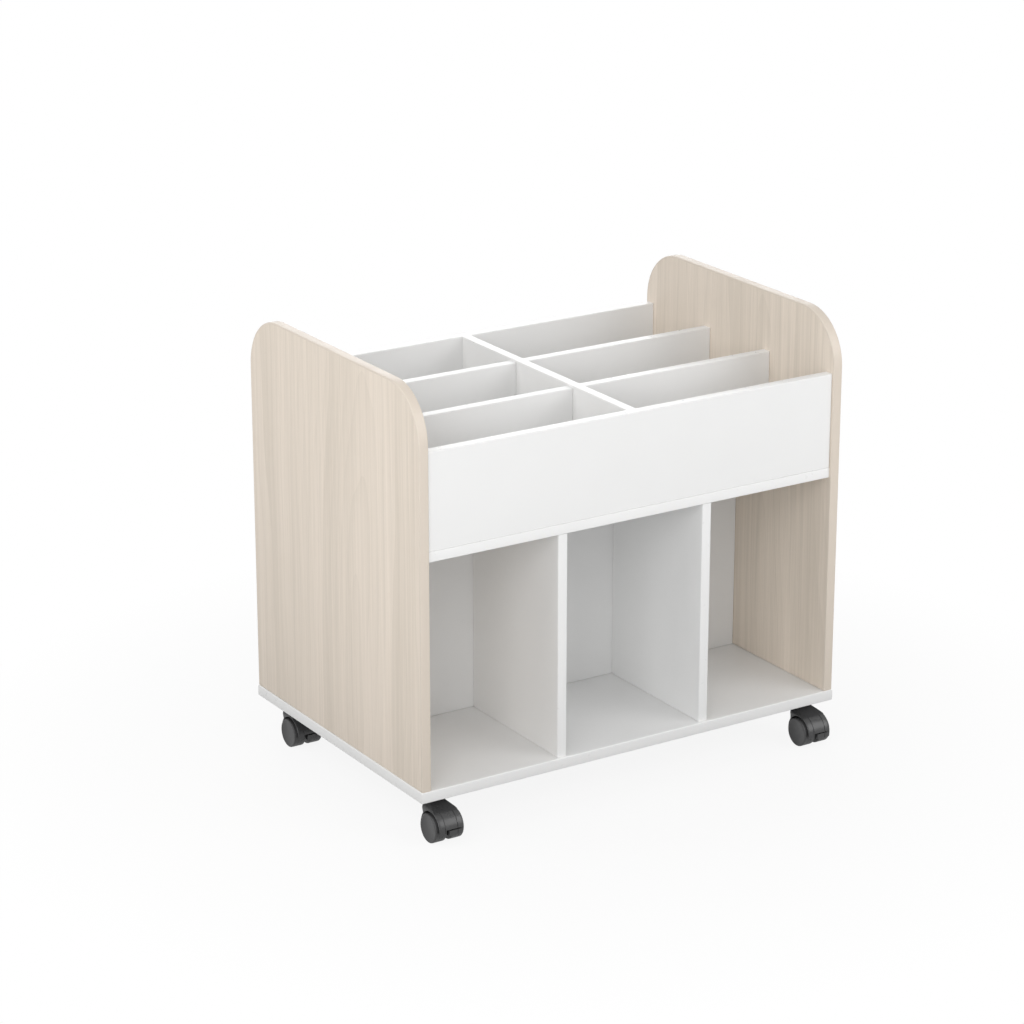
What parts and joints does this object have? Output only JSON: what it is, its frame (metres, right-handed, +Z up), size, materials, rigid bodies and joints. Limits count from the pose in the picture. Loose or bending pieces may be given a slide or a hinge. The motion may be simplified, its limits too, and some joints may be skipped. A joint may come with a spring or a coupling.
{
  "type": "picture book browser bin",
  "caption": "Mobile double-sided browser bin: open divided bins above, cubbies on both long sides below, round-cornered wood-grain ends, braked twin-wheel swivel casters.",
  "frame": {"origin": "on the floor, under the middle of the bounding box", "axes": "+X along the width from the left end to the right, +Y from the front to the back, +Z up"},
  "size_m": [0.902, 0.626, 0.833],
  "materials": {
    "white_melamine": "white satin melamine on particle board",
    "wood_laminate": "pale wood-grain melamine, vertical grain",
    "wood_edge_band": "wood-coloured edge band, satin",
    "dowel_wood": "plain beech",
    "zinc_steel": "zinc plated",
    "black_nylon": "moulded, fine texture",
    "wheel_nylon": "moulded, satin"
  },
  "bodies": {
    "cabinet": {"base_panel": "white_melamine", "middle_shelf": "white_melamine", "front_board": "white_melamine", "back_board": "white_melamine", "front_row_divider": "white_melamine", "back_row_divider": "white_melamine", "cross_divider": "white_melamine", "spine_panel": "white_melamine", "front_left_divider": "white_melamine", "front_right_divider": "white_melamine", "back_left_divider": "white_melamine", "back_right_divider": "white_melamine", "left_end_panel": "wood_laminate", "right_end_panel": "wood_laminate", "left_end_edge_band": "wood_edge_band", "right_end_edge_band": "wood_edge_band", "front_left_shelf_dowel": "dowel_wood", "back_left_shelf_dowel": "dowel_wood", "front_right_shelf_dowel": "dowel_wood", "back_right_shelf_dowel": "dowel_wood", "left_front_board_dowel": "dowel_wood", "right_front_board_dowel": "dowel_wood", "left_back_board_dowel": "dowel_wood", "right_back_board_dowel": "dowel_wood", "left_spine_dowel": "dowel_wood", "right_spine_dowel": "dowel_wood", "front_cross_dowel": "dowel_wood", "back_cross_dowel": "dowel_wood", "front_left_base_screw": "zinc_steel", "back_left_base_screw": "zinc_steel", "front_right_base_screw": "zinc_steel", "back_right_base_screw": "zinc_steel", "front_left_caster_insert": "zinc_steel", "front_left_caster_stem": "zinc_steel", "front_right_caster_insert": "zinc_steel", "front_right_caster_stem": "zinc_steel", "back_left_caster_insert": "zinc_steel", "back_left_caster_stem": "zinc_steel", "back_right_caster_insert": "zinc_steel", "back_right_caster_stem": "zinc_steel"},
    "front_left_swivel": {"front_left_caster_hood": "black_nylon", "front_left_caster_axle": "zinc_steel"},
    "front_left_brake": {"front_left_caster_brake_pedal": "black_nylon"},
    "front_left_left_wheel": {"front_left_caster_left_wheel": "wheel_nylon"},
    "front_left_right_wheel": {"front_left_caster_right_wheel": "wheel_nylon"},
    "front_right_swivel": {"front_right_caster_hood": "black_nylon", "front_right_caster_axle": "zinc_steel"},
    "front_right_brake": {"front_right_caster_brake_pedal": "black_nylon"},
    "front_right_left_wheel": {"front_right_caster_left_wheel": "wheel_nylon"},
    "front_right_right_wheel": {"front_right_caster_right_wheel": "wheel_nylon"},
    "back_left_swivel": {"back_left_caster_hood": "black_nylon", "back_left_caster_axle": "zinc_steel"},
    "back_left_brake": {"back_left_caster_brake_pedal": "black_nylon"},
    "back_left_left_wheel": {"back_left_caster_left_wheel": "wheel_nylon"},
    "back_left_right_wheel": {"back_left_caster_right_wheel": "wheel_nylon"},
    "back_right_swivel": {"back_right_caster_hood": "black_nylon", "back_right_caster_axle": "zinc_steel"},
    "back_right_brake": {"back_right_caster_brake_pedal": "black_nylon"},
    "back_right_left_wheel": {"back_right_caster_left_wheel": "wheel_nylon"},
    "back_right_right_wheel": {"back_right_caster_right_wheel": "wheel_nylon"}
  },
  "joints": [
    {"name": "front_left_caster_swivel", "type": "hinge", "parent": "cabinet", "child": "front_left_swivel", "pos_m": [-0.405, -0.243, 0.06], "axis": [0, 0, 1], "continuous": true},
    {"name": "front_left_left_wheel_spin", "type": "hinge", "parent": "front_left_swivel", "child": "front_left_left_wheel", "pos_m": [-0.405, -0.28, 0.027], "axis": [1, 0, 0], "continuous": true},
    {"name": "front_left_right_wheel_spin", "type": "hinge", "parent": "front_left_swivel", "child": "front_left_right_wheel", "pos_m": [-0.405, -0.28, 0.027], "axis": [1, 0, 0], "continuous": true},
    {"name": "front_left_brake_press", "type": "hinge", "parent": "front_left_swivel", "child": "front_left_brake", "pos_m": [-0.405, -0.298, 0.033], "axis": [1, 0, 0], "range_deg": [0, 5]},
    {"name": "front_right_caster_swivel", "type": "hinge", "parent": "cabinet", "child": "front_right_swivel", "pos_m": [0.405, -0.243, 0.06], "axis": [0, 0, 1], "continuous": true},
    {"name": "front_right_left_wheel_spin", "type": "hinge", "parent": "front_right_swivel", "child": "front_right_left_wheel", "pos_m": [0.405, -0.28, 0.027], "axis": [1, 0, 0], "continuous": true},
    {"name": "front_right_right_wheel_spin", "type": "hinge", "parent": "front_right_swivel", "child": "front_right_right_wheel", "pos_m": [0.405, -0.28, 0.027], "axis": [1, 0, 0], "continuous": true},
    {"name": "front_right_brake_press", "type": "hinge", "parent": "front_right_swivel", "child": "front_right_brake", "pos_m": [0.405, -0.298, 0.033], "axis": [1, 0, 0], "range_deg": [0, 5]},
    {"name": "back_left_caster_swivel", "type": "hinge", "parent": "cabinet", "child": "back_left_swivel", "pos_m": [-0.405, 0.267, 0.06], "axis": [0, 0, 1], "continuous": true},
    {"name": "back_left_left_wheel_spin", "type": "hinge", "parent": "back_left_swivel", "child": "back_left_left_wheel", "pos_m": [-0.405, 0.23, 0.027], "axis": [1, 0, 0], "continuous": true},
    {"name": "back_left_right_wheel_spin", "type": "hinge", "parent": "back_left_swivel", "child": "back_left_right_wheel", "pos_m": [-0.405, 0.23, 0.027], "axis": [1, 0, 0], "continuous": true},
    {"name": "back_left_brake_press", "type": "hinge", "parent": "back_left_swivel", "child": "back_left_brake", "pos_m": [-0.405, 0.212, 0.033], "axis": [1, 0, 0], "range_deg": [0, 5]},
    {"name": "back_right_caster_swivel", "type": "hinge", "parent": "cabinet", "child": "back_right_swivel", "pos_m": [0.405, 0.267, 0.06], "axis": [0, 0, 1], "continuous": true},
    {"name": "back_right_left_wheel_spin", "type": "hinge", "parent": "back_right_swivel", "child": "back_right_left_wheel", "pos_m": [0.405, 0.23, 0.027], "axis": [1, 0, 0], "continuous": true},
    {"name": "back_right_right_wheel_spin", "type": "hinge", "parent": "back_right_swivel", "child": "back_right_right_wheel", "pos_m": [0.405, 0.23, 0.027], "axis": [1, 0, 0], "continuous": true},
    {"name": "back_right_brake_press", "type": "hinge", "parent": "back_right_swivel", "child": "back_right_brake", "pos_m": [0.405, 0.212, 0.033], "axis": [1, 0, 0], "range_deg": [0, 5]}
  ]
}
